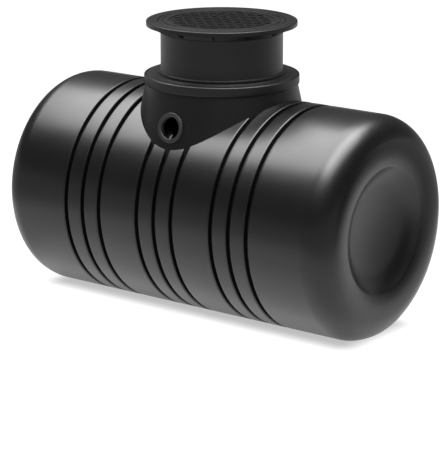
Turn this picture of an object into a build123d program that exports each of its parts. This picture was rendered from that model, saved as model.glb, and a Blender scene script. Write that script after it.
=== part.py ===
import os
from math import asin, cos, radians, sin, sqrt

from build123d import *

# Tank shell, millimetres
tank_length = 2076
barrel_radius = 575
wall = 9
sole_cut = 20  # height of round skin that the flat moulded sole takes away
knuckle_radius = 141  # rounded shoulder between the barrel and each end
dish_land = 106  # flat ring between the shoulder and the hollow pressed into each end
dish_depth = 72

# Grooves that stiffen the barrel: one group of three in the middle, the rest to each side
groups_each_side = 1
groove_pitch = 110
groove_clear = 19  # nearest side groove's centre beyond the neck's opening
groove_mouth = 27
groove_floor = 19
groove_depth = 28

# Riser: the fixed lower tube of the shaft, on which all wider rings are built up
riser_outer_radius = 302
riser_wall = 7
riser_height = 212  # top of the riser above the collar
riser_seal_height = 26
riser_seal_drop = 14  # riser's end above its seal
seat_gap = 0.3
running_gap = 5

# Telescope: the upper tube that slides over the riser
tube_wall = 8
tube_overrun = 22  # tube's length beyond the riser's height
tube_lip_stand = 10.5
tube_lip_height = 11
tube_lip_round = 3

# Base flange of the riser
flange_step = 6
flange_step_reach = 26.5  # raised step beyond the tube's lip
flange_reach = 38  # flange beyond its raised step
flange_round = 4

# Collar that closes the neck and takes the flange
collar_rise = 103.5  # top of the collar above the barrel's crown
collar_height = 48
collar_web = 11
collar_land = 48  # how far the web reaches in under the flange
collar_rim = 9.5
collar_step = 9  # how far the collar stands out past the neck
collar_round = 4
rebate_depth = 12
rebate_clearance = 1.5

# Neck: a cone that stands astride the barrel's grooves and leans in to the collar
neck_foot_swing = 13.1  # degrees round the barrel from below the neck's top to the foot in the middle groove
neck_wall = 9
neck_opening_inset = 50  # hole in the barrel's crown, in from the neck's top
foot_margin = 4

# Pipe ports in the neck, square to its leaning wall
port_drop = 215.5  # port centre below the collar's top
port_bore_radius = 55.3
port_mouth_radius = 57
port_sleeve_radius = 62
port_ring_radius = 77
port_ring_stand = 5
port_ring_bed = 14  # how deep the ring's bed may reach to follow the round wall
port_sleeve_length = 24
port_lead = 9
port_clearance = 0.2

# Cover frame on the tube's head
frame_height = 24
frame_plate = 8
frame_rim = 7
frame_reach = 60  # frame's plate beyond the lid opening
frame_round = 4
skirt_wall = 9
skirt_height = 18
ledge = 12
ledge_overhang = 7  # ledge in past the tube's inner face
gusset_count = 12
gusset_thickness = 7
gusset_inset = 4

# Lid in the frame
lid_recess = 14  # lid opening beyond the tube's outer face
lid_gap = 3
lid_thickness = 20
lid_plate = 8
lid_round = 3
lid_plug_gap = 6
lid_plug_wall = 12
lid_plug_drop = 17  # plug ring below the lid's rim
lid_ring_groove_insets = (22, 52)
lid_ring_groove_width = 4
lid_ring_groove_depth = 2.5
lid_rib_count = 8
lid_rib_thickness = 7
lid_rib_height = 16
lid_rib_bite = 6  # rib length that runs into the hub and the plug ring
lid_hub_radius = 38
gasket_width = 6
gasket_height = 4
gasket_inset = 1

# Screws that hold the lid
screw_count = 2
screw_inset = 11.5  # screw's centre in from the lid's edge
screw_radius = 4
screw_hole_radius = 4.6
screw_head_radius = 7
screw_head_height = 5
screw_pocket_radius = 8
screw_pocket_depth = 6
screw_bite = 4  # screw's end in the frame's ledge
screw_tip_room = 4

# Levels above the ground
axis_height = barrel_radius - sole_cut
crown_height = axis_height + barrel_radius
collar_top = crown_height + collar_rise
neck_top = collar_top - collar_height
flange_seat = collar_top - rebate_depth
riser_top = collar_top + riser_height
tube_bottom = collar_top + flange_step + seat_gap
tube_top = tube_bottom + riser_height + tube_overrun
lid_seat = tube_top + ledge
gasket_top = lid_seat + gasket_height
lid_top = gasket_top + lid_thickness

# Radii of the shaft, from the riser outwards
tube_inner_radius = riser_outer_radius + running_gap
tube_outer_radius = tube_inner_radius + tube_wall
tube_lip_radius = tube_outer_radius + tube_lip_stand
flange_step_radius = tube_lip_radius + flange_step_reach
flange_radius = flange_step_radius + flange_reach
rebate_radius = flange_radius + rebate_clearance
collar_radius = rebate_radius + collar_rim
neck_top_radius = collar_radius - collar_step
neck_opening_radius = neck_top_radius - neck_opening_inset
lid_opening_radius = tube_outer_radius + lid_recess
lid_radius = lid_opening_radius - lid_gap
ledge_inner_radius = tube_inner_radius - ledge_overhang
screw_circle_radius = lid_radius - screw_inset

# Lengths along the tank
tank_end = tank_length / 2
end_start = tank_end - knuckle_radius
shoulder_radius = barrel_radius - knuckle_radius
dish_radius = shoulder_radius - dish_land
floor_radius = barrel_radius - groove_depth
groove_steps = [groove_pitch * place for place in (-1, 0, 1)]
inner_seam = neck_opening_radius + groove_clear
group_pitch = inner_seam + groove_pitch
outer_seam = group_pitch + groove_pitch

tank_axis = Axis((0, 0, axis_height), (1, 0, 0))
tank_section = Plane(origin=(0, 0, axis_height), x_dir=(1, 0, 0), z_dir=(0, -1, 0))

os.makedirs("parts", exist_ok=True)


def finish(piece, name):
    """Label a finished piece and write its own file."""
    piece.part.label = name
    export_step(piece.part, f"parts/{name}.step")


def mirrored(piece, plane):
    """The same piece on the other side of a plane."""
    with BuildPart() as twin:
        mirror(piece.part, about=plane)
    return twin


def turned(*corners):
    """Ring turned round the shaft's axis from corners, each a radius, a height and a rounding."""
    with BuildPart() as ring:
        with BuildSketch(Plane.XZ):
            with BuildLine():
                FilletPolyline(
                    *[(radius, height) for radius, height, rounding in corners],
                    radius=[rounding for radius, height, rounding in corners],
                    close=True,
                )
            make_face()
        revolve(axis=Axis.Z)
    return ring


def right_grooves():
    """Centres of the grooves on the right-hand side of the tank's middle, in order."""
    centres = [groove_pitch]
    for group in range(1, groups_each_side + 1):
        centres += [group * group_pitch + step for step in groove_steps]
    return centres


def quarter_outline():
    """Tank skin from the middle groove out to the end's centre, above the axis."""
    half_mouth, half_floor = groove_mouth / 2, groove_floor / 2
    points = [(0, floor_radius), (half_floor, floor_radius), (half_mouth, barrel_radius)]
    for centre in right_grooves():
        points += [
            (centre - half_mouth, barrel_radius),
            (centre - half_floor, floor_radius),
            (centre + half_floor, floor_radius),
            (centre + half_mouth, barrel_radius),
        ]
    points.append((end_start, barrel_radius))
    Polyline(*points)
    CenterArc((end_start, shoulder_radius), knuckle_radius, 0, 90)
    Line((tank_end, shoulder_radius), (tank_end, dish_radius))
    dish_sphere = (dish_radius**2 + dish_depth**2) / (2 * dish_depth)
    dish_centre = tank_end - dish_depth + dish_sphere
    ThreePointArc(
        (tank_end, dish_radius),
        (dish_centre - sqrt(dish_sphere**2 - (dish_radius / 2) ** 2), dish_radius / 2),
        (tank_end - dish_depth, 0),
    )


def long_section(inset):
    """Lengthwise section of the tank above its axis, with the skin moved inwards by inset."""
    with BuildSketch() as section:
        with BuildLine():
            quarter_outline()
            mirror(about=Plane.YZ)
            mirror(about=Plane.XZ)
        make_face()
        if inset:
            offset(amount=-inset, kind=Kind.INTERSECTION)
        with Locations((0, barrel_radius / 2)):
            Rectangle(tank_length, barrel_radius, mode=Mode.INTERSECT)
    return section.sketch


def tank_form(section, low, high):
    """Solid of revolution between two stations along the tank, cut flat at the ground."""
    with BuildPart() as form:
        with BuildSketch(tank_section):
            add(section)
            with Locations(((low + high) / 2, barrel_radius / 2)):
                Rectangle(high - low, barrel_radius, mode=Mode.INTERSECT)
        revolve(axis=tank_axis)
        split(bisect_by=Plane.XY, keep=Keep.TOP)
    return form.part


def shell_slice(low, high):
    """One length of the tank's shell, with a flat sole as thick as its wall."""
    with BuildPart() as piece:
        add(tank_form(skin_section, low, high))
        split(bisect_by=Plane.XY.offset(wall), keep=Keep.BOTTOM)
        add(tank_form(wall_section, low, high))
    return piece


def barrel_slice(low, high):
    """One length of the barrel, without what the neck's opening takes from its crown."""
    with BuildPart() as piece:
        add(shell_slice(low, high).part)
        with BuildSketch(Plane.XY.offset(axis_height)):
            Circle(neck_opening_radius)
        extrude(amount=barrel_radius, mode=Mode.SUBTRACT)
    return piece


# Tank shell: seams lie at the bottoms of the grooves, where the moulding hides them
skin_section = long_section(0)
wall_section = skin_section - long_section(wall)

right_end = shell_slice(outer_seam, tank_end)
finish(right_end, "right_end")

left_end = mirrored(right_end, Plane.YZ)
finish(left_end, "left_end")

barrel_right = barrel_slice(inner_seam, outer_seam)
finish(barrel_right, "barrel_right")

barrel_left = mirrored(barrel_right, Plane.YZ)
finish(barrel_left, "barrel_left")

barrel_centre = barrel_slice(-inner_seam, inner_seam)
finish(barrel_centre, "barrel_centre")

# Neck: the cone's foot is cut to the grooved barrel, so that it fills each groove it crosses
foot_direction = asin(neck_top_radius / floor_radius) + radians(neck_foot_swing)
foot_radius = floor_radius * sin(foot_direction)
foot_height = axis_height + floor_radius * cos(foot_direction)
neck_bottom = foot_height - foot_margin
lean = (foot_radius - neck_top_radius) / (neck_top - foot_height)


def neck_radius(height):
    """Outer radius of the leaning wall at a height above the ground."""
    return neck_top_radius + lean * (neck_top - height)


def neck_edge(inset):
    """Top and foot of the leaning wall's outer face, moved inwards by inset."""
    return [(neck_top_radius - inset, neck_top), (neck_radius(neck_bottom) - inset, neck_bottom)]


with BuildPart() as neck:
    with BuildSketch(Plane.XZ):
        with BuildLine():
            Polyline(*neck_edge(0), *reversed(neck_edge(neck_wall)), close=True)
        make_face()
    revolve(axis=Axis.Z)
    add(tank_form(skin_section, -outer_seam, outer_seam), mode=Mode.SUBTRACT)

# Neck panels: their seams run up from the plain barrel between two groups of grooves
panel_seam = (groove_pitch + inner_seam) / 2
port_height = collar_top - port_drop
port_place = Plane(
    origin=(0, -neck_radius(port_height), port_height),
    x_dir=(1, 0, 0),
    z_dir=(0, -1, lean),
)

with BuildPart() as neck_front:
    add(neck.part)
    split(bisect_by=Plane.XZ, keep=Keep.TOP)
    split(bisect_by=Plane.YZ.offset(panel_seam), keep=Keep.BOTTOM)
    split(bisect_by=Plane.YZ.offset(-panel_seam), keep=Keep.TOP)
    with BuildSketch(port_place):
        Circle(port_sleeve_radius + port_clearance)
    extrude(amount=port_sleeve_length, both=True, mode=Mode.SUBTRACT)
finish(neck_front, "neck_front")

neck_rear = mirrored(neck_front, Plane.XZ)
finish(neck_rear, "neck_rear")

with BuildPart() as neck_right:
    add(neck.part)
    split(bisect_by=Plane.YZ.offset(panel_seam), keep=Keep.TOP)
finish(neck_right, "neck_right")

neck_left = mirrored(neck_right, Plane.YZ)
finish(neck_left, "neck_left")

# Collar: a rim round the rebate for the flange, and a web under it that closes the neck
neck_collar = turned(
    (flange_radius - collar_land, flange_seat, 0),
    (rebate_radius, flange_seat, 0),
    (rebate_radius, collar_top, 0),
    (collar_radius, collar_top, collar_round),
    (collar_radius, neck_top, collar_round),
    (neck_top_radius - neck_wall, neck_top, 0),
    (neck_top_radius - neck_wall, flange_seat - collar_web, 0),
    (flange_radius - collar_land, flange_seat - collar_web, 0),
)
finish(neck_collar, "neck_collar")

# Port seals: a flat rubber ring bedded on the round wall, and a sleeve through it
with BuildPart() as front_port_seal:
    with BuildSketch(port_place.offset(-port_ring_bed)):
        Circle(port_ring_radius)
    extrude(amount=port_ring_bed + port_ring_stand)
    with BuildSketch(Plane.XZ):
        with BuildLine():
            Polyline((0, neck_top), *neck_edge(0), (0, neck_bottom), close=True)
        make_face()
    revolve(axis=Axis.Z, mode=Mode.SUBTRACT)
    with BuildSketch(port_place.offset(port_ring_stand)):
        Circle(port_sleeve_radius)
    extrude(amount=-port_sleeve_length)
    with BuildSketch(port_place.offset(port_ring_stand)):
        Circle(port_bore_radius)
    extrude(amount=-port_sleeve_length, mode=Mode.SUBTRACT)
    with BuildSketch(port_place.offset(port_ring_stand)):
        Circle(port_mouth_radius)
    extrude(amount=-port_lead, mode=Mode.SUBTRACT)
finish(front_port_seal, "front_port_seal")

rear_port_seal = mirrored(front_port_seal, Plane.XZ)
finish(rear_port_seal, "rear_port_seal")

# Shaft flange, riser and the rubber ring that seals the telescope on it
shaft_flange = turned(
    (riser_outer_radius, flange_seat, 0),
    (flange_radius, flange_seat, 0),
    (flange_radius, collar_top, flange_round),
    (flange_step_radius, collar_top, 0),
    (flange_step_radius, collar_top + flange_step, flange_round),
    (riser_outer_radius, collar_top + flange_step, 0),
)
finish(shaft_flange, "shaft_flange")

riser_inner_radius = riser_outer_radius - riser_wall
riser_tube = turned(
    (riser_inner_radius, flange_seat, 0),
    (riser_outer_radius, flange_seat, 0),
    (riser_outer_radius, riser_top, 0),
    (riser_inner_radius, riser_top, 0),
)
finish(riser_tube, "riser_tube")

seal_top = riser_top - riser_seal_drop
riser_seal = turned(
    (riser_outer_radius, seal_top - riser_seal_height, 0),
    (tube_inner_radius - seat_gap, seal_top - riser_seal_height, 0),
    (tube_inner_radius - seat_gap, seal_top, 0),
    (riser_outer_radius, seal_top, 0),
)
finish(riser_seal, "riser_seal")

# Telescope tube, with a lip round its foot
telescope_tube = turned(
    (tube_inner_radius, tube_bottom, 0),
    (tube_lip_radius, tube_bottom, tube_lip_round),
    (tube_lip_radius, tube_bottom + tube_lip_height, tube_lip_round),
    (tube_outer_radius, tube_bottom + tube_lip_height, 0),
    (tube_outer_radius, tube_top, 0),
    (tube_inner_radius, tube_top, 0),
)
finish(telescope_tube, "telescope_tube")

# Cover frame: ledge on the tube's head, skirt round it, plate and rim out to the edge, gussets below
skirt_radius = tube_outer_radius + skirt_wall
skirt_bottom = tube_top - skirt_height
throat_radius = lid_opening_radius + frame_plate
plate_bottom = lid_top - frame_plate
frame_radius = lid_opening_radius + frame_reach
rim_inner_radius = frame_radius - frame_rim
frame_bottom = lid_top - frame_height
frame_ring = turned(
    (ledge_inner_radius, tube_top, 0),
    (tube_outer_radius, tube_top, 0),
    (tube_outer_radius, skirt_bottom, 0),
    (skirt_radius, skirt_bottom, 0),
    (throat_radius, plate_bottom, 0),
    (rim_inner_radius, plate_bottom, 0),
    (rim_inner_radius, frame_bottom, 0),
    (frame_radius, frame_bottom, 0),
    (frame_radius, lid_top, frame_round),
    (lid_opening_radius, lid_top, 0),
    (lid_opening_radius, lid_seat, 0),
    (ledge_inner_radius, lid_seat, 0),
)
with BuildPart() as cover_frame:
    add(frame_ring.part)
    with BuildSketch(Plane.XZ) as gusset:
        with BuildLine():
            Polyline(
                (skirt_radius - gusset_inset, skirt_bottom),
                (skirt_radius, skirt_bottom),
                (rim_inner_radius, frame_bottom),
                (rim_inner_radius, plate_bottom),
                (throat_radius - gusset_inset, plate_bottom),
                close=True,
            )
        make_face()
    for turn in range(gusset_count):
        with BuildSketch(Plane.XZ.rotated((0, 0, turn * 360 / gusset_count))):
            add(gusset.sketch_local)
        extrude(amount=gusset_thickness / 2, both=True)
    with BuildSketch(Plane.XY.offset(lid_seat)):
        with PolarLocations(screw_circle_radius, screw_count):
            Circle(screw_hole_radius)
    extrude(amount=-screw_bite - screw_tip_room, mode=Mode.SUBTRACT)
finish(cover_frame, "cover_frame")

gasket_inner_radius = ledge_inner_radius + gasket_inset
lid_gasket = turned(
    (gasket_inner_radius, lid_seat, 0),
    (gasket_inner_radius + gasket_width, lid_seat, 0),
    (gasket_inner_radius + gasket_width, gasket_top - seat_gap, 0),
    (gasket_inner_radius, gasket_top - seat_gap, 0),
)
finish(lid_gasket, "lid_gasket")

# Lid: plate, thick rim over the gasket, plug ring, hub and ribs in one moulding
lid_under = lid_top - lid_plate
hub_bottom = lid_under - lid_rib_height
plug_outer_radius = ledge_inner_radius - lid_plug_gap
plug_inner_radius = plug_outer_radius - lid_plug_wall
plug_bottom = gasket_top - lid_plug_drop
lid_disc = turned(
    (0, lid_top, 0),
    (lid_radius, lid_top, lid_round),
    (lid_radius, gasket_top, 0),
    (plug_outer_radius, gasket_top, 0),
    (plug_outer_radius, plug_bottom, 0),
    (plug_inner_radius, plug_bottom, 0),
    (plug_inner_radius, lid_under, 0),
    (lid_hub_radius, lid_under, 0),
    (lid_hub_radius, hub_bottom, 0),
    (0, hub_bottom, 0),
)
with BuildPart() as lid:
    add(lid_disc.part)
    for turn in range(lid_rib_count):
        direction = turn * 360 / lid_rib_count
        with BuildSketch(Plane.XY.offset(lid_under).rotated((0, 0, direction))):
            with Locations(((lid_hub_radius + plug_inner_radius) / 2, 0)):
                Rectangle(plug_inner_radius - lid_hub_radius + lid_rib_bite, lid_rib_thickness)
        extrude(amount=-lid_rib_height)
    for inset in lid_ring_groove_insets:
        with BuildSketch(Plane.XY.offset(lid_top)):
            Circle(lid_radius - inset + lid_ring_groove_width / 2)
            Circle(lid_radius - inset - lid_ring_groove_width / 2, mode=Mode.SUBTRACT)
        extrude(amount=-lid_ring_groove_depth, mode=Mode.SUBTRACT)
    with BuildSketch(Plane.XY.offset(lid_top)):
        with PolarLocations(screw_circle_radius, screw_count):
            Circle(screw_pocket_radius)
    extrude(amount=-screw_pocket_depth, mode=Mode.SUBTRACT)
    with BuildSketch(Plane.XY.offset(lid_top)):
        with PolarLocations(screw_circle_radius, screw_count):
            Circle(screw_hole_radius)
    extrude(amount=-lid_thickness, mode=Mode.SUBTRACT)
finish(lid, "lid")

# Lid screws
head_bottom = lid_top - screw_pocket_depth
for name, side in (("lid_screw_left", -1), ("lid_screw_right", 1)):
    with BuildPart() as lid_screw:
        with BuildSketch(Plane((side * screw_circle_radius, 0, head_bottom))):
            Circle(screw_head_radius)
        extrude(amount=screw_head_height)
        with BuildSketch(Plane((side * screw_circle_radius, 0, head_bottom))):
            Circle(screw_radius)
        extrude(amount=lid_seat - screw_bite - head_bottom)
    finish(lid_screw, name)
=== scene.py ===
from math import asin, atan2, ceil, cos, pi, radians, sin, sqrt, tan

import bmesh
import bpy
from mathutils import Matrix, Vector


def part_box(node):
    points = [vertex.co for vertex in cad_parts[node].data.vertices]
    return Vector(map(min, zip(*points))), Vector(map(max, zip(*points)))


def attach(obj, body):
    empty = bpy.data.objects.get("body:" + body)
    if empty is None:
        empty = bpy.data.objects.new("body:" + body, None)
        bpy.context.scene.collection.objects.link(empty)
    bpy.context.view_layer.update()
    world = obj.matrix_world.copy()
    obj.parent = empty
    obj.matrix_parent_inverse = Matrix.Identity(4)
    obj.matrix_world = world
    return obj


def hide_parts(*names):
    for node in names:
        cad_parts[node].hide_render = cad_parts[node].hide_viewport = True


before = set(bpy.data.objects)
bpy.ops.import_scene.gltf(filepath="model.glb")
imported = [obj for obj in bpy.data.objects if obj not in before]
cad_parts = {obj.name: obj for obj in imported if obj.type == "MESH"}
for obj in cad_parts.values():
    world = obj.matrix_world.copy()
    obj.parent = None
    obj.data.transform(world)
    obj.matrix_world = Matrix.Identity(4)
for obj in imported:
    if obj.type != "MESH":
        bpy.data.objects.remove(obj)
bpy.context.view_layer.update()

# Tank shell. One hollow moulding of black polyethylene, about 9 mm thick, made by turning a hot mould:
# a grooved barrel, big rounded shoulders and a hollow pressed into each end. It stands on a flat sole
# moulded into its underside. The skin that the neck covers is made matt and almost unreflecting, painted
# shade for the dark inside of the closed neck.
barrel_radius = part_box("barrel_centre")[1].y
end_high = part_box("right_end")[1]
axis_height = end_high.z - barrel_radius
tank_end = end_high.x
tank_wall = 0.009
knuckle_radius = 0.141
brow_radius = 0.320
brow_turn = radians(18)
rim_radius = 0.040
wall_slope = radians(42)
dish_foot_radius = 0.200
dish_floor_slope = radians(11)
groove_depth = 0.028
groove_mouth = 0.027
groove_floor = 0.019
groove_pitch = 0.110
group_pitch = 0.471
lip_round = 0.008
floor_round = 0.003
neck_opening = 0.342
covered_radius = 0.400
over_crown = 1.3
chine_round = 0.006
around_tank = 192
around_hollow = 96
around_opening = 128
groove_places = [group * group_pitch + step * groove_pitch for group in (-1, 0, 1) for step in (-1, 0, 1)]


def rounded(corners, closed=True, arc_step=radians(12)):
    """Points along an outline of corners (u, v, radius), each corner rounded by its radius."""
    points = []
    for place, (u, v, radius) in enumerate(corners):
        here = Vector((u, v))
        if radius == 0 or (not closed and place in (0, len(corners) - 1)):
            points.append(here)
            continue
        into = (here - Vector(corners[place - 1][:2])).normalized()
        out = (Vector(corners[(place + 1) % len(corners)][:2]) - here).normalized()
        turn = atan2(into.x * out.y - into.y * out.x, into.dot(out))
        start = here - into * radius * tan(abs(turn) / 2)
        side = 1 if turn > 0 else -1
        centre = start + Vector((-into.y, into.x)) * radius * side
        count = max(2, ceil(abs(turn) / arc_step))
        for step in range(count + 1):
            points.append(centre + Matrix.Rotation(turn * step / count, 2) @ (start - centre))
    return points


def turned(outline, steps, place=Matrix(), closed=True):
    """Mesh turned round the place's own Z axis from an outline of (radius, station) points."""
    mesh = bmesh.new()
    turns = [2 * pi * step / steps for step in range(steps)]
    rings = []
    for radius, station in outline:
        if radius < 1e-6:
            rings.append([mesh.verts.new(place @ Vector((0, 0, station)))] * steps)
            continue
        corners = [Vector((radius * cos(turn), radius * sin(turn), station)) for turn in turns]
        rings.append([mesh.verts.new(place @ corner) for corner in corners])
    pairs = list(zip(rings, rings[1:]))
    if closed:
        pairs.append((rings[-1], rings[0]))
    for first, second in pairs:
        for step in range(steps):
            after = (step + 1) % steps
            corners = list(dict.fromkeys([first[step], first[after], second[after], second[step]]))
            if len(corners) > 2:
                mesh.faces.new(corners)
    bmesh.ops.recalc_face_normals(mesh, faces=mesh.faces)
    return mesh


def finished(name, mesh, material, crease=35):
    """Object with a smooth surface, kept sharp where two faces meet at more than the crease angle."""
    data = bpy.data.meshes.new(name)
    mesh.to_mesh(data)
    mesh.free()
    data.shade_smooth()
    data.set_sharp_from_angle(angle=radians(crease))
    data.materials.append(material)
    piece = bpy.data.objects.new(name, data)
    bpy.context.scene.collection.objects.link(piece)
    return piece


def joined(meshes):
    """One bmesh out of several."""
    whole = bmesh.new()
    for mesh in meshes:
        data = bpy.data.meshes.new("join")
        mesh.to_mesh(data)
        mesh.free()
        whole.from_mesh(data)
        bpy.data.meshes.remove(data)
    return whole


def evaluated_mesh(piece):
    """Bmesh of a piece as its modifiers leave it."""
    bpy.context.view_layer.update()
    evaluated = piece.evaluated_get(bpy.context.evaluated_depsgraph_get())
    data = bpy.data.meshes.new_from_object(evaluated)
    mesh = bmesh.new()
    mesh.from_mesh(data)
    bpy.data.meshes.remove(data)
    return mesh


def carved(mesh, cutters, material):
    """The mesh with the form of each cutter taken out of it."""
    block = finished("block", mesh, material)
    tools = [finished("cutter", cutter, material) for cutter in cutters]
    for tool in tools:
        change = block.modifiers.new("carve", "BOOLEAN")
        change.operation = "DIFFERENCE"
        change.solver = "EXACT"
        change.object = tool
    result = evaluated_mesh(block)
    for piece in [block] + tools:
        bpy.data.objects.remove(piece)
    return result


def hand_over(piece, body, nodes):
    """Seats a finished piece on its CAD body, in place of the CAD nodes that it stands for."""
    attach(piece, body)
    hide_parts(*nodes)


def plastic(name, tone, roughness, spread, grain, bump, level):
    """Moulded plastic or rubber: a near-even tone, a roughness that drifts a little, and a fine grain."""
    material = bpy.data.materials.new(name)
    material.use_nodes = True
    nodes, links = material.node_tree.nodes, material.node_tree.links
    shader = nodes["Principled BSDF"]
    shader.inputs["Base Color"].default_value = (*tone, 1)
    shader.inputs["Specular IOR Level"].default_value = level
    place = nodes.new("ShaderNodeTexCoord")
    drift = nodes.new("ShaderNodeTexNoise")
    drift.inputs["Scale"].default_value = 7
    drift.inputs["Detail"].default_value = 3
    links.new(place.outputs["Object"], drift.inputs["Vector"])
    span = nodes.new("ShaderNodeMapRange")
    span.inputs["From Min"].default_value = 0.3
    span.inputs["From Max"].default_value = 0.7
    span.inputs["To Min"].default_value = roughness - spread
    span.inputs["To Max"].default_value = roughness + spread
    links.new(drift.outputs["Fac"], span.inputs["Value"])
    links.new(span.outputs["Result"], shader.inputs["Roughness"])
    fine = nodes.new("ShaderNodeTexNoise")
    fine.inputs["Scale"].default_value = grain
    fine.inputs["Detail"].default_value = 4
    links.new(place.outputs["Object"], fine.inputs["Vector"])
    relief = nodes.new("ShaderNodeBump")
    relief.inputs["Strength"].default_value = bump
    relief.inputs["Distance"].default_value = 0.001
    links.new(fine.outputs["Fac"], relief.inputs["Height"])
    links.new(relief.outputs["Normal"], shader.inputs["Normal"])
    return material


tank_plastic = plastic(
    "tank_polyethylene",
    tone=(0.003, 0.003, 0.0033),
    roughness=0.33,
    spread=0.012,
    grain=260,
    bump=0.025,
    level=0.5,
)
# Painted shade: a dull, almost unreflecting finish for the skin inside the neck, where shade falls.
painted_shade_plastic = plastic(
    "polyethylene_painted_shade",
    tone=(0.002, 0.002, 0.002),
    roughness=0.9,
    spread=0.02,
    grain=260,
    bump=0.025,
    level=0.05,
)


def hollow_of_end(inset):
    """Points (station, radius) from the shoulder over the hollow's brow, rim and wall to its middle."""
    points = [Vector((tank_end - inset, barrel_radius - knuckle_radius))]
    for bend, slope, turn, steps in (
        (brow_radius - inset, 0, brow_turn, 8),
        (rim_radius - inset, brow_turn, wall_slope - brow_turn, 10),
        (dish_foot_radius + inset, wall_slope, dish_floor_slope - wall_slope, 8),
        (None, dish_floor_slope, -dish_floor_slope, 24),
    ):
        start = points[-1]
        bend = bend or start.y / sin(slope)  # the bowed floor comes level at the tank's axis
        side = 1 if turn > 0 else -1
        for step in range(1, steps + 1):
            now = slope + turn * step / steps
            sunk = side * bend * (cos(slope) - cos(now))
            gone = side * bend * (sin(now) - sin(slope))
            points.append(Vector((start.x - sunk, start.y - gone)))
    return points


def tank_outline(inset):
    """Outline of (radius, station) points from end centre to end centre, moved inwards by inset."""
    lip = lip_round if inset == 0 else floor_round
    slope = (groove_mouth - groove_floor) / 2 / groove_depth
    widen = inset * sqrt(1 + slope**2)
    land, floor = barrel_radius - inset, barrel_radius - groove_depth - inset
    half_floor = groove_floor / 2 - slope * inset + widen
    half_mouth = groove_mouth / 2 - slope * inset + widen
    corners = []
    for centre in groove_places:
        corners += [
            (centre - half_mouth, land, lip),
            (centre - half_floor, floor, floor_round),
            (centre + half_floor, floor, floor_round),
            (centre + half_mouth, land, lip),
        ]
    right = [(tank_end - inset, land, knuckle_radius - inset)]
    right += [(point.x, max(point.y, 0), 0) for point in hollow_of_end(inset)[1:]]
    left = [(-station, radius, turn) for station, radius, turn in right][::-1]
    points = rounded(left + corners + right, closed=False, arc_step=radians(5))
    return [(point.y, point.x) for point in points]


def on_the_ground(mesh, level):
    """Flattens the underside at a level, with a rounded edge where the round skin meets the flat."""
    for vertex in mesh.verts:
        above = vertex.co.z - level
        if above < chine_round:
            blend = max(chine_round - abs(above), 0) / chine_round
            vertex.co.z = level + max(above, 0) + blend**2 * chine_round / 4


along_tank = Matrix.Translation((0, 0, axis_height)) @ Matrix.Rotation(pi / 2, 4, "Y")
skin = turned(tank_outline(0), around_tank, along_tank, closed=False)
on_the_ground(skin, 0)
hollow = turned(tank_outline(tank_wall), around_hollow, along_tank, closed=False)
on_the_ground(hollow, tank_wall)
bmesh.ops.reverse_faces(hollow, faces=hollow.faces)
opening = [(0, axis_height), (neck_opening, axis_height), (neck_opening, over_crown), (0, over_crown)]
shell = carved(joined([skin, hollow]), [turned(opening, around_opening)], tank_plastic)
tank = finished("tank_shell", shell, tank_plastic)
# Painted shade: the skin that the neck covers gets the dull finish, so the inside of the neck stays dark.
tank.data.materials.append(painted_shade_plastic)
for face in tank.data.polygons:
    corners = [tank.data.vertices[index].co for index in face.vertices]
    if all(corner.z > axis_height and corner.xy.length < covered_radius for corner in corners):
        face.material_index = 1
shell_nodes = ["left_end", "right_end", "barrel_left", "barrel_right", "barrel_centre"]
hand_over(tank, "tank", shell_nodes)

# Neck. A leaning cone of the same polyethylene, welded astride the barrel: its foot follows the round
# barrel and fills every groove it crosses. A round hole for the pipe seal is cut square to the wall,
# front and rear.
collar_low, collar_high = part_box("neck_collar")
collar_step = 0.009
neck_top = collar_low.z
neck_top_radius = collar_high.x - collar_step
neck_wall = 0.009
foot_swing = radians(13.1)
foot_direction = asin(neck_top_radius / (barrel_radius - groove_depth)) + foot_swing
foot_radius = (barrel_radius - groove_depth) * sin(foot_direction)
foot_height = axis_height + (barrel_radius - groove_depth) * cos(foot_direction)
lean = (foot_radius - neck_top_radius) / (neck_top - foot_height)
foot_sink = 0.0045
foot_search = 0.03
halvings = 26
around_neck = 1440
port_drop = 0.2155
port_height = collar_high.z - port_drop
port_radius = neck_top_radius + lean * (neck_top - port_height)
port_sleeve = 0.062
hole_reach = 0.03
around_port = 96
neck_plastic = plastic(
    "neck_polyethylene",
    tone=(0.003, 0.003, 0.0033),
    roughness=0.38,
    spread=0.02,
    grain=420,
    bump=0.05,
    level=0.42,
)


def skin_radius(station):
    """Radius of the tank's skin at a station along it, grooves included."""
    radius = barrel_radius
    side_width = groove_mouth / 2 - groove_floor / 2
    for centre in groove_places:
        off = abs(station - centre)
        if off < groove_floor / 2:
            radius = barrel_radius - groove_depth
        elif off < groove_mouth / 2:
            radius = barrel_radius - groove_depth * (groove_mouth / 2 - off) / side_width
    return radius


def foot_of_wall(direction, inset):
    """Radius and height at which the wall, seen from the neck's axis, has sunk into the tank's skin."""
    low, high = foot_height - foot_search, neck_top
    for _ in range(halvings):
        height = (low + high) / 2
        radius = neck_top_radius - inset + lean * (neck_top - height)
        across, along = radius * sin(direction), radius * cos(direction)
        depth = skin_radius(along) - sqrt(across**2 + (height - axis_height) ** 2)
        if depth > foot_sink:
            low = height
        else:
            high = height
    return radius, height


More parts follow.
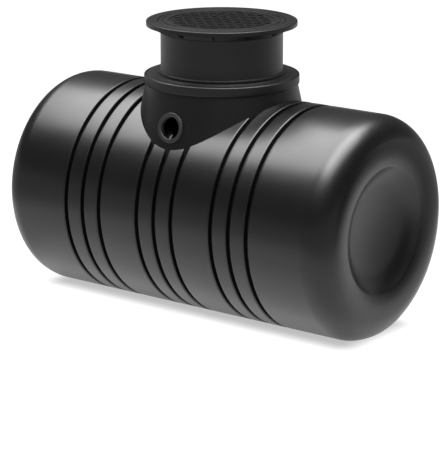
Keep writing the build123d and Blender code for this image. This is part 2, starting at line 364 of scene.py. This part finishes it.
neck_mesh = bmesh.new()
rings = []
for step in range(around_neck):
    direction = 2 * pi * step / around_neck
    ring = []
    for inset, shares in ((0, (0, 0.25, 0.5, 0.75, 1)), (neck_wall, (1, 0.5, 0))):
        top = neck_top_radius - inset
        foot, foot_level = foot_of_wall(direction, inset)
        fall = foot_level - neck_top
        ring += [(top + (foot - top) * share, neck_top + fall * share) for share in shares]
    rings.append([neck_mesh.verts.new((r * cos(direction), r * sin(direction), z)) for r, z in ring])
for first, second in zip(rings, rings[1:] + rings[:1]):
    for a, b, c, d in zip(first, second, second[1:] + second[:1], first[1:] + first[:1]):
        neck_mesh.faces.new((a, b, c, d))
bmesh.ops.recalc_face_normals(neck_mesh, faces=neck_mesh.faces)
port_places = []
for side in (-1, 1):
    facing = Vector((0, side, lean)).normalized().to_track_quat("Z", "Y").to_matrix().to_4x4()
    port_places.append(Matrix.Translation((0, side * port_radius, port_height)) @ facing)
hole = [(0, -hole_reach), (port_sleeve, -hole_reach), (port_sleeve, hole_reach), (0, hole_reach)]
neck_mesh = carved(neck_mesh, [turned(hole, around_port, place) for place in port_places], neck_plastic)
neck = finished("neck", neck_mesh, neck_plastic)
hand_over(neck, "tank", ["neck_front", "neck_rear", "neck_left", "neck_right"])

# Collar. A stiff rim welded on the neck, with a web under it; the shaft's flange drops into its rebate.
# Its edges are rounded as they leave the mould.
flange_low, flange_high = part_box("shaft_flange")
collar_radius = collar_high.x
rebate_radius = flange_high.x + 0.0015
web_inner = flange_high.x - 0.048
web_bottom = flange_low.z - 0.011
collar_round = 0.006
around_ring = 192
collar_profile = rounded(
    [
        (web_inner, flange_low.z, 0.001),
        (rebate_radius, flange_low.z, 0.001),
        (rebate_radius, collar_high.z, 0.0015),
        (collar_radius, collar_high.z, collar_round),
        (collar_radius, neck_top, collar_round),
        (neck_top_radius - neck_wall, neck_top, 0),
        (neck_top_radius - neck_wall, web_bottom, 0.004),
        (web_inner, web_bottom, 0.001),
    ]
)
collar = finished("neck_rim", turned(collar_profile, around_ring), neck_plastic)
hand_over(collar, "tank", ["neck_collar"])

# Pipe seals. A grey-black rubber ring pressed into each port; its flat flange lies on the neck's wall
# and its sleeve grips the pipe. The mouth is led in by a rounded bevel.
port_bore = 0.0553
port_mouth = 0.057
seal_radius = 0.077
seal_stand = 0.005
seal_bed = -0.008
sleeve_end = -0.019
bevel_start = -0.006
rubber = plastic(
    "port_rubber",
    tone=(0.042, 0.042, 0.042),
    roughness=0.42,
    spread=0.03,
    grain=300,
    bump=0.05,
    level=0.5,
)
seal_profile = rounded(
    [
        (port_bore, sleeve_end, 0.001),
        (port_bore, bevel_start, 0.002),
        (port_mouth, seal_stand, 0.0035),
        (seal_radius, seal_stand, 0.0025),
        (seal_radius, seal_bed, 0),
        (port_sleeve, seal_bed, 0),
        (port_sleeve, sleeve_end, 0.001),
    ]
)
for side, place in zip(("front", "rear"), port_places):
    seal = finished(f"port_seal_{side}", turned(seal_profile, around_port, place), rubber)
    hand_over(seal, "tank", [f"{side}_port_seal"])

# Shaft foot. The riser is a length of black plastic pipe welded into a moulded flange that closes the
# collar. A rubber ring on the riser keeps soil and water out of the telescope.
riser_low, riser_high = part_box("riser_tube")
riser_radius = riser_high.x
riser_wall = 0.007
flange_top = flange_high.z
flange_step = 0.352
flange_profile = rounded(
    [
        (riser_radius, flange_low.z, 0),
        (flange_high.x, flange_low.z, 0.001),
        (flange_high.x, collar_high.z, 0.002),
        (flange_step, collar_high.z, 0.002),
        (flange_step, flange_top, 0.002),
        (riser_radius, flange_top, 0),
    ]
)
pipe_plastic = plastic(
    "shaft_pipe",
    tone=(0.004, 0.004, 0.0043),
    roughness=0.42,
    spread=0.02,
    grain=500,
    bump=0.04,
    level=0.45,
)
flange = finished("shaft_flange_ring", turned(flange_profile, around_ring), pipe_plastic)
hand_over(flange, "tank", ["shaft_flange"])
riser_profile = rounded(
    [
        (riser_radius - riser_wall, riser_low.z, 0.001),
        (riser_radius, riser_low.z, 0.001),
        (riser_radius, riser_high.z, 0.0025),
        (riser_radius - riser_wall, riser_high.z, 0.001),
    ]
)
riser = finished("riser_pipe", turned(riser_profile, around_ring), pipe_plastic)
hand_over(riser, "tank", ["riser_tube"])
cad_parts["riser_seal"].data.materials.clear()
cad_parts["riser_seal"].data.materials.append(rubber)

# Telescope tube. The upper pipe slides over the riser, so that the cover meets the ground's level;
# a moulded lip stiffens its foot, and it is turned down a little where the cover's skirt grips it.
tube_low, tube_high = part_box("telescope_tube")
frame_low, frame_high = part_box("cover_frame")
skirt_bottom = frame_low.z
tube_radius = 0.315
tube_inner = 0.307
tube_lip_top = tube_low.z + 0.011
turned_radius = tube_radius - 0.003
turned_foot = skirt_bottom - 0.004
tube_profile = rounded(
    [
        (tube_inner, tube_low.z, 0.001),
        (tube_high.x, tube_low.z, 0.0035),
        (tube_high.x, tube_lip_top, 0.0015),
        (tube_radius, tube_lip_top, 0.002),
        (tube_radius, turned_foot, 0.0005),
        (turned_radius, turned_foot, 0.0005),
        (turned_radius, tube_high.z, 0.001),
        (tube_inner, tube_high.z, 0.001),
    ]
)
tube = finished("telescope_pipe", turned(tube_profile, around_ring), pipe_plastic)
hand_over(tube, "telescope", ["telescope_tube"])

# Cover frame. Injection-moulded ring clipped on the tube's head: a ledge for the lid, a skirt, a flat
# plate out to a thin rim, and twelve gussets under the plate that stiffen it.
lid_low, lid_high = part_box("lid")
lid_top = lid_high.z
lid_opening = lid_high.x + 0.003
lid_seat = tube_high.z + 0.012
plate_bottom = lid_top - 0.008
frame_radius = frame_high.x
frame_bottom = lid_top - 0.024
frame_inner = 0.300
rim_inner = frame_radius - 0.007
skirt_radius = tube_radius + 0.009
gusset_count = 12
gusset_width = 0.007
edge_bevel = 0.0008
cover_plastic = plastic(
    "cover_moulding",
    tone=(0.006, 0.006, 0.0063),
    roughness=0.42,
    spread=0.03,
    grain=700,
    bump=0.12,
    level=0.25,
)
frame_profile = rounded(
    [
        (frame_inner, tube_high.z, 0.001),
        (tube_radius, tube_high.z, 0),
        (tube_radius, skirt_bottom, 0),
        (skirt_radius, skirt_bottom, 0.002),
        (lid_opening + 0.008, plate_bottom, 0.003),
        (rim_inner, plate_bottom, 0.002),
        (rim_inner, frame_bottom, 0.001),
        (frame_radius, frame_bottom, 0.001),
        (frame_radius, lid_top, 0.006),
        (lid_opening, lid_top, 0.0015),
        (lid_opening, lid_seat, 0.001),
        (frame_inner, lid_seat, 0.001),
    ]
)


def maths(tree, operation, first, second=None):
    """Result of a sum in a node tree, on sockets or numbers."""
    node = tree.nodes.new("ShaderNodeMath")
    node.operation = operation
    for socket, value in zip(node.inputs, (first, second)):
        if isinstance(value, (int, float)):
            socket.default_value = value
        elif value is not None:
            tree.links.new(value, socket)
    return node.outputs[0]


def group_with(name, numbers):
    """Node group that takes a piece, numbers and a material, with the identifiers of its inputs."""
    group = bpy.data.node_groups.new(name, "GeometryNodeTree")
    sockets = group.interface
    sockets.new_socket("Geometry", in_out="INPUT", socket_type="NodeSocketGeometry")
    inputs = {}
    for label, kind in (*numbers, ("Material", "NodeSocketMaterial")):
        inputs[label] = sockets.new_socket(label, in_out="INPUT", socket_type=kind).identifier
    sockets.new_socket("Geometry", in_out="OUTPUT", socket_type="NodeSocketGeometry")
    return group, inputs


def set_out(group, given, points, turn, chosen=None):
    """Ends a group: the given piece on each chosen point at its turn, made real, in its material."""
    nodes, links = group.nodes, group.links
    spread = nodes.new("GeometryNodeInstanceOnPoints")
    links.new(points.outputs[0], spread.inputs["Points"])
    links.new(given.outputs["Geometry"], spread.inputs["Instance"])
    links.new(turn.outputs[0], spread.inputs["Rotation"])
    if chosen:
        links.new(chosen, spread.inputs["Selection"])
    real = nodes.new("GeometryNodeRealizeInstances")
    links.new(spread.outputs[0], real.inputs[0])
    coat = nodes.new("GeometryNodeSetMaterial")
    links.new(real.outputs[0], coat.inputs["Geometry"])
    links.new(given.outputs["Material"], coat.inputs["Material"])
    links.new(coat.outputs[0], nodes.new("NodeGroupOutput").inputs[0])


def ring_of_pieces():
    """Node group that sets out a piece at even turns round the Z axis."""
    group, inputs = group_with("ring_of_pieces", [("Count", "NodeSocketInt")])
    nodes, links = group.nodes, group.links
    given = nodes.new("NodeGroupInput")
    points = nodes.new("GeometryNodePoints")
    links.new(given.outputs["Count"], points.inputs["Count"])
    index = nodes.new("GeometryNodeInputIndex").outputs[0]
    share = maths(group, "DIVIDE", index, given.outputs["Count"])
    turn = nodes.new("ShaderNodeCombineXYZ")
    links.new(maths(group, "MULTIPLY", share, 2 * pi), turn.inputs["Z"])
    set_out(group, given, points, turn)
    return group, inputs


def repeated(source, group, inputs, values):
    """Plain mesh made by running a node group on a source piece, with its inputs set by identifier."""
    change = source.modifiers.new("repeat", "NODES")
    change.node_group = group
    for label, value in values.items():
        change[inputs[label]] = value
    mesh = evaluated_mesh(source)
    source.modifiers.clear()
    bpy.data.objects.remove(source)
    return mesh


def slab(outline, thickness):
    """Flat plate of an (x, z) outline, centred on the XZ plane, with its edges softened."""
    mesh = bmesh.new()
    near = [mesh.verts.new((u, -thickness / 2, v)) for u, v in outline]
    far = [mesh.verts.new((u, thickness / 2, v)) for u, v in outline]
    mesh.faces.new(near)
    mesh.faces.new(far[::-1])
    for place, vertex in enumerate(near):
        after = (place + 1) % len(near)
        mesh.faces.new((vertex, far[place], far[after], near[after]))
    bmesh.ops.recalc_face_normals(mesh, faces=mesh.faces)
    bmesh.ops.bevel(mesh, geom=mesh.edges, offset=edge_bevel, segments=2, profile=0.5, affect="EDGES")
    return mesh


gusset = slab(
    [
        (skirt_radius - 0.004, skirt_bottom + 0.001),
        (skirt_radius, skirt_bottom + 0.001),
        (frame_radius - 0.006, frame_bottom + 0.001),
        (frame_radius - 0.006, plate_bottom + 0.002),
        (lid_opening + 0.004, plate_bottom + 0.002),
    ],
    gusset_width,
)
ring_group, ring_inputs = ring_of_pieces()
one_gusset = finished("gusset", gusset, cover_plastic)
gusset_values = {"Count": gusset_count, "Material": cover_plastic}
gussets = repeated(one_gusset, ring_group, ring_inputs, gusset_values)
ring = turned(frame_profile, around_ring)
cover = finished("cover_frame_ring", joined([ring, gussets]), cover_plastic)
hand_over(cover, "telescope", ["cover_frame"])
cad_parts["lid_gasket"].data.materials.clear()
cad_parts["lid_gasket"].data.materials.append(rubber)

# Lid. Moulded plastic disc that drops into the frame on a rubber gasket: a raised rim with a ring
# groove, a tread of short bars that slant both ways, and a plug ring, a hub and ribs underneath.
tread_plastic = plastic(
    "lid_tread",
    tone=(0.003, 0.003, 0.0033),
    roughness=0.6,
    spread=0.03,
    grain=500,
    bump=0.3,
    level=0.12,
)
tread_radius = 0.272
tread_depth = 0.0055
tread_rows = 17
tread_pitch = 0.034
tread_reach = 0.254
tread_seed = 3
stray_turn = 0.12
bar_length = 0.032
bar_width = 0.012
bar_bevel = 0.0007
rim_top = lid_top - 0.0005
ring_groove_inner = 0.301
ring_groove_outer = 0.307
ring_groove_bottom = lid_top - 0.004
ring_groove_draft = 0.0005
rib_count = 8
rib_width = 0.007
hub_radius = 0.038
plug_outer = 0.294
plug_inner = 0.282
plug_bottom = lid_low.z
lid_under = lid_top - 0.008
hub_bottom = lid_under - 0.016
gasket_top = lid_top - 0.020
lid_radius = lid_high.x
lid_profile = rounded(
    [
        (0, lid_top - tread_depth, 0),
        (tread_radius, lid_top - tread_depth, 0.001),
        (tread_radius + 0.001, rim_top, 0.001),
        (ring_groove_inner, rim_top, 0.001),
        (ring_groove_inner + ring_groove_draft, ring_groove_bottom, 0.001),
        (ring_groove_outer - ring_groove_draft, ring_groove_bottom, 0.001),
        (ring_groove_outer, rim_top, 0.001),
        (lid_radius, rim_top, 0.003),
        (lid_radius, gasket_top, 0.002),
        (plug_outer, gasket_top, 0.001),
        (plug_outer, plug_bottom, 0.002),
        (plug_inner, plug_bottom, 0.002),
        (plug_inner, lid_under, 0.002),
        (hub_radius, lid_under, 0.002),
        (hub_radius, hub_bottom, 0.002),
        (0, hub_bottom, 0),
    ]
)
rib_start, rib_end, rib_top = hub_radius - 0.003, plug_inner + 0.003, lid_under + 0.002
rib_outline = [(rib_start, hub_bottom), (rib_end, hub_bottom), (rib_end, rib_top), (rib_start, rib_top)]
one_rib = finished("rib", slab(rib_outline, rib_width), cover_plastic)
ribs = repeated(one_rib, ring_group, ring_inputs, {"Count": rib_count, "Material": cover_plastic})


def tread_of_bars():
    """Node group that sets bars on a square grid, slanted to one side and the other in turn."""
    group, inputs = group_with(
        "tread_bars",
        [
            ("Rows", "NodeSocketInt"),
            ("Pitch", "NodeSocketFloat"),
            ("Reach", "NodeSocketFloat"),
            ("Height", "NodeSocketFloat"),
            ("Seed", "NodeSocketInt"),
        ],
    )
    nodes, links = group.nodes, group.links
    given = nodes.new("NodeGroupInput")
    rows, pitch = given.outputs["Rows"], given.outputs["Pitch"]
    points = nodes.new("GeometryNodePoints")
    links.new(maths(group, "MULTIPLY", rows, rows), points.inputs["Count"])
    index = nodes.new("GeometryNodeInputIndex").outputs[0]
    row = maths(group, "FLOOR", maths(group, "DIVIDE", index, rows))
    column = maths(group, "MODULO", index, rows)
    middle = maths(group, "DIVIDE", maths(group, "SUBTRACT", rows, 1), 2)
    x = maths(group, "MULTIPLY", maths(group, "SUBTRACT", column, middle), pitch)
    y = maths(group, "MULTIPLY", maths(group, "SUBTRACT", row, middle), pitch)
    position = nodes.new("ShaderNodeCombineXYZ")
    links.new(x, position.inputs["X"])
    links.new(y, position.inputs["Y"])
    links.new(given.outputs["Height"], position.inputs["Z"])
    links.new(position.outputs[0], points.inputs["Position"])
    squares = maths(group, "ADD", maths(group, "MULTIPLY", x, x), maths(group, "MULTIPLY", y, y))
    outside = maths(group, "GREATER_THAN", maths(group, "SQRT", squares), given.outputs["Reach"])
    parity = maths(group, "MODULO", maths(group, "ADD", row, column), 2)
    slant = maths(group, "MULTIPLY", maths(group, "SUBTRACT", parity, 0.5), pi / 2)
    stray = nodes.new("FunctionNodeRandomValue")
    stray.data_type = "FLOAT"
    links.new(given.outputs["Seed"], stray.inputs["Seed"])
    least, most = [socket for socket in stray.inputs if socket.enabled][:2]
    least.default_value, most.default_value = -stray_turn, stray_turn
    stray_out = next(socket for socket in stray.outputs if socket.enabled)
    turn = nodes.new("ShaderNodeCombineXYZ")
    links.new(maths(group, "ADD", slant, stray_out), turn.inputs["Z"])
    set_out(group, given, points, turn, maths(group, "SUBTRACT", 1, outside))
    return group, inputs


bar = bmesh.new()
bmesh.ops.create_cube(bar, size=1)
bmesh.ops.scale(bar, vec=(bar_length, bar_width, tread_depth), verts=bar.verts)
bmesh.ops.translate(bar, vec=(0, 0, tread_depth / 2 - bar_bevel), verts=bar.verts)
bmesh.ops.bevel(bar, geom=bar.edges, offset=bar_bevel, segments=1, profile=0.5, affect="EDGES")
tread_group, tread_inputs = tread_of_bars()
tread_values = {
    "Rows": tread_rows,
    "Pitch": tread_pitch,
    "Reach": tread_reach,
    "Height": lid_top - tread_depth,
    "Seed": tread_seed,
    "Material": cover_plastic,
}
tread = repeated(finished("bar", bar, cover_plastic), tread_group, tread_inputs, tread_values)
screw_circle = lid_radius - 0.0115
screw_spots = [Matrix.Translation((side * screw_circle, 0, 0)) for side in (-1, 1)]
shank_hole = 0.0046
around_hole = 48
head_hole = 0.008
head_seat = lid_top - 0.006
way_bottom, way_top = gasket_top - 0.01, lid_top + 0.01
screw_way = [
    (0, way_bottom),
    (shank_hole, way_bottom),
    (shank_hole, head_seat),
    (head_hole, head_seat),
    (head_hole, way_top),
    (0, way_top),
]
screw_ways = [turned(screw_way, around_hole, spot) for spot in screw_spots]
disc = carved(turned(lid_profile, around_ring), screw_ways, cover_plastic)
for face in disc.faces:
    middle = face.calc_center_median()
    if face.normal.z > 0.5 and middle.xy.length < tread_radius and middle.z > lid_under + 0.001:
        face.material_index = 1
for face in tread.faces:
    face.material_index = 1
lid = finished("lid_disc", joined([disc, ribs, tread]), cover_plastic)
lid.data.materials.append(tread_plastic)
hand_over(lid, "lid", ["lid"])

# Lid screws. Two dull steel screws, one at each side, with round heads and a hexagon socket. They are
# sunk in the lid's rim and hold it down on the frame.
screw_low, screw_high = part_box("lid_screw_right")
steel = plastic(
    "screw_steel",
    tone=(0.16, 0.16, 0.155),
    roughness=0.46,
    spread=0.04,
    grain=600,
    bump=0.05,
    level=0.5,
)
steel.node_tree.nodes["Principled BSDF"].inputs["Metallic"].default_value = 1
shank_radius = 0.004
head_radius = 0.007
around_screw = 40
socket_sides = 6
head_bottom = screw_high.z - 0.005
screw_profile = rounded(
    [
        (0, screw_low.z, 0),
        (shank_radius - 0.001, screw_low.z, 0),
        (shank_radius, screw_low.z + 0.001, 0),
        (shank_radius, head_bottom, 0),
        (head_radius, head_bottom, 0.0004),
        (head_radius, screw_high.z, 0.0018),
        (0, screw_high.z, 0),
    ]
)
socket_radius = 0.003
socket_bottom, socket_top = screw_high.z - 0.0025, screw_high.z + 0.01
socket = [
    (0, socket_bottom),
    (socket_radius, socket_bottom),
    (socket_radius, socket_top),
    (0, socket_top),
]
for side, spot in zip(("left", "right"), screw_spots):
    body = turned(screw_profile, around_screw, spot)
    body = carved(body, [turned(socket, socket_sides, spot)], steel)
    screw = finished(f"screw_{side}", body, steel)
    hand_over(screw, "lid", [f"lid_screw_{side}"])

# Studio. A white floor and backdrop that glow evenly, a big soft lamp overhead for the broad sheen along
# the barrel and a narrower one for the bright band on its right shoulder. Near the tank the floor's glow
# is painted: raised beside the tank, a painted pool of light, and lowered in the gap beneath it, a
# painted contact shadow. A grey ring of curtain that only reflections see, with a dark stretch behind
# the right end, stands for the far side of the room.
floor_reach = 80
backdrop_radius = 70
backdrop_height = 40
curtain_radius = 2.5
curtain_foot, curtain_top = 0.05, 0.9
dark_foot = 0.14
dark_from, dark_to = radians(4), radians(34)
around_studio = 96
# Painted pool of light on the floor: how far out and how much the glow is raised beside the tank.
lit_near, lit_far, lit_more = 0.75, 1.15, 0.35
# Painted contact shadow on the floor: how far out and how deep the glow is lowered under the tank.
shadow_near, shadow_far, shadow_strength = 0.20, 0.42, 0.85
lit_middle, lit_end = 0.9, 1.2
shadow_middle, shadow_end = 0.9, 1.1
surround_level = 0.12


def glowing(name, tone, glow):
    """Matt grey material that also gives off an even white glow."""
    material = bpy.data.materials.new(name)
    material.use_nodes = True
    shader = material.node_tree.nodes["Principled BSDF"]
    shader.inputs["Base Color"].default_value = (tone, tone, tone, 1)
    shader.inputs["Roughness"].default_value = 0.9
    shader.inputs["Emission Color"].default_value = (1, 1, 1, 1)
    shader.inputs["Emission Strength"].default_value = glow
    return material


def fade(tree, value, low, high, level_low, level_high):
    """Level that goes smoothly from one number to another as the value goes from low to high."""
    node = tree.nodes.new("ShaderNodeMapRange")
    node.interpolation_type = "SMOOTHSTEP"
    tree.links.new(value, node.inputs["Value"])
    node.inputs["From Min"].default_value = low
    node.inputs["From Max"].default_value = high
    node.inputs["To Min"].default_value = level_low
    node.inputs["To Max"].default_value = level_high
    return node.outputs["Result"]


paper = glowing("paper", tone=0.5, glow=1)
sheet = paper.node_tree
parts = sheet.nodes.new("ShaderNodeSeparateXYZ")
sheet.links.new(sheet.nodes.new("ShaderNodeTexCoord").outputs["Object"], parts.inputs[0])
from_middle = maths(sheet, "ABSOLUTE", parts.outputs["X"])
from_axis = maths(sheet, "ABSOLUTE", parts.outputs["Y"])
# Painted pool of light: the floor's glow is raised in a band along the tank.
lit_across = fade(sheet, from_axis, lit_near, lit_far, lit_more, 0)
lit_along = fade(sheet, from_middle, lit_middle, lit_end, 1, 0)
painted_light_beside_tank = maths(sheet, "MULTIPLY", lit_across, lit_along)
# Painted contact shadow: the floor's glow is lowered in the gap under the tank.
shadow_across = fade(sheet, from_axis, shadow_near, shadow_far, shadow_strength, 0)
shadow_along = fade(sheet, from_middle, shadow_middle, shadow_end, 1, 0)
painted_shadow_under_tank = maths(sheet, "MULTIPLY", shadow_across, shadow_along)
brightness = maths(sheet, "SUBTRACT", maths(sheet, "ADD", 1, painted_light_beside_tank), painted_shadow_under_tank)
sheet.links.new(brightness, sheet.nodes["Principled BSDF"].inputs["Emission Strength"])
floor_mesh = bmesh.new()
bmesh.ops.create_grid(floor_mesh, x_segments=1, y_segments=1, size=floor_reach)
floor = finished("floor", floor_mesh, paper)

backdrop_outline = [
    (backdrop_radius, 0),
    (backdrop_radius + 1, 0),
    (backdrop_radius + 1, backdrop_height),
    (backdrop_radius, backdrop_height),
]
backdrop = finished("backdrop", turned(backdrop_outline, around_studio), paper)
backdrop.visible_diffuse = False
backdrop.visible_glossy = False
backdrop.visible_shadow = False

curtain_outline = [
    (curtain_radius, curtain_foot),
    (curtain_radius + 0.02, curtain_foot),
    (curtain_radius + 0.02, dark_foot),
    (curtain_radius + 0.02, curtain_top),
    (curtain_radius, curtain_top),
    (curtain_radius, dark_foot),
]
cloth = glowing("curtain_cloth", tone=0.02, glow=0.4)
curtain = finished("curtain", turned(curtain_outline, around_studio), cloth)
curtain.data.materials.append(glowing("dark_cloth", tone=0.02, glow=0.03))
for face in curtain.data.polygons:
    if dark_from < atan2(face.center.y, face.center.x) < dark_to and face.center.z > dark_foot:
        face.material_index = 1
curtain.visible_camera = False
curtain.visible_diffuse = False
curtain.visible_shadow = False

world = bpy.data.worlds.new("surround")
bpy.context.scene.world = world
world.use_nodes = True
world.node_tree.nodes["Background"].inputs["Color"].default_value = (1, 1, 1, 1)
world.node_tree.nodes["Background"].inputs["Strength"].default_value = surround_level

for name, place, width, height, power in (
    ("overhead", (-0.7, -0.35, 5.4), 9, 5.0, 1250),
    ("strip", (1.5, -0.1, 5.3), 1.6, 6.6, 260),
):
    light = bpy.data.lights.new(name, "AREA")
    light.shape = "RECTANGLE"
    light.size, light.size_y = width, height
    light.energy = power
    lamp = bpy.data.objects.new(name, light)
    lamp.location = place
    lamp.visible_diffuse = False
    bpy.context.scene.collection.objects.link(lamp)

camera_data = bpy.data.cameras.new("camera")
camera_data.lens = 170.10
camera_data.clip_end = 200
camera = bpy.data.objects.new("camera", camera_data)
camera.location = (6.6495, -8.7547, 3.4298)
camera.rotation_euler = (radians(74.563), 0, radians(37.266))
bpy.context.scene.collection.objects.link(camera)
bpy.context.scene.camera = camera
bpy.context.scene.view_settings.view_transform = "Standard"
